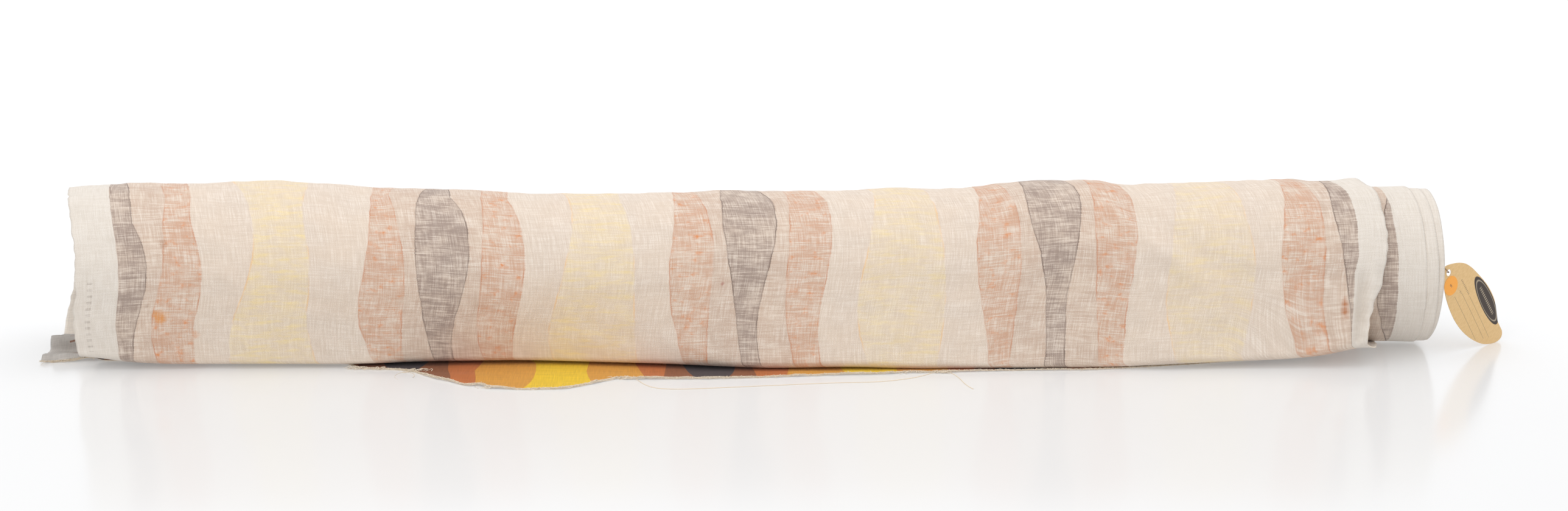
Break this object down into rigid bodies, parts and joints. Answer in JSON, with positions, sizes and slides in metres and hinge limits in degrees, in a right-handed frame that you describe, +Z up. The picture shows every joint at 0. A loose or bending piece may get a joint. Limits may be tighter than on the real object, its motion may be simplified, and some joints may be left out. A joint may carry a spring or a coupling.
{
  "type": "fabric bolt",
  "caption": "Long roll of printed furnishing cloth, reverse side out on a cardboard tube, with a loose outer turn, a cut end on the table and an oval swing tag.",
  "frame": {"origin": "on the table under the tube's axis, at the middle of the outer turn's front; the flat underside of the cloth under the roll lies at Z = 0", "axes": "+X runs along the roll towards the end with the swing tag, -Y is the side where the cut end lies, +Z is up"},
  "size_m": [1.4038, 0.228, 0.158],
  "materials": {
    "cardboard_tube": "spiral-wound cardboard, matt, with fine seams",
    "paper_tape": "kraft paper tape, matt",
    "cloth_reverse": "slubby linen and cotton weave, matt, print showing through from the other side",
    "cloth_face": "slubby linen and cotton weave, matt, printed in mustard, yellow, rust and dark brown bands",
    "yarn": "unbleached linen yarn, matt",
    "tag_thread": "brown twisted thread, matt",
    "kraft_card": "brown kraft card, matt, with fine flecks",
    "orange_sticker": "coated paper, slight sheen"
  },
  "bodies": {
    "wrap": {"outer_turn": "cloth_reverse", "under_layer": "cloth_reverse"},
    "roll": {"core_tube": "cardboard_tube", "start_tape": "paper_tape", "wound_turns_inner": "cloth_reverse", "wound_turns_middle": "cloth_reverse", "wound_turns_outer": "cloth_reverse", "second_turn": "cloth_reverse"},
    "free_end": {"free_end": "cloth_face", "loose_yarns": "yarn"},
    "tag_tie": {"tag_thread": "tag_thread"},
    "tag": {"hang_tag": "kraft_card", "dot_sticker": "orange_sticker"}
  },
  "joints": [
    {"name": "roll_spin", "type": "hinge", "parent": "wrap", "child": "roll", "pos_m": [0, 0, 0.078], "axis": [1, 0, 0], "continuous": true},
    {"name": "free_end_lift", "type": "hinge", "parent": "wrap", "child": "free_end", "pos_m": [0, -0.092, 0.0018], "axis": [-1, 0, 0], "range_deg": [0, 85]},
    {"name": "tag_swing", "type": "hinge", "parent": "roll", "child": "tag_tie", "pos_m": [0.6619, -0.0649, 0.0949], "axis": [0.5878, -0.809, 0], "range_deg": [0, 75]},
    {"name": "tag_twist", "type": "hinge", "parent": "tag_tie", "child": "tag", "pos_m": [0.6783, -0.0509, 0.0821], "axis": [-0.654, -0.5583, 0.5105], "range_deg": [0, 10]}
  ]
}
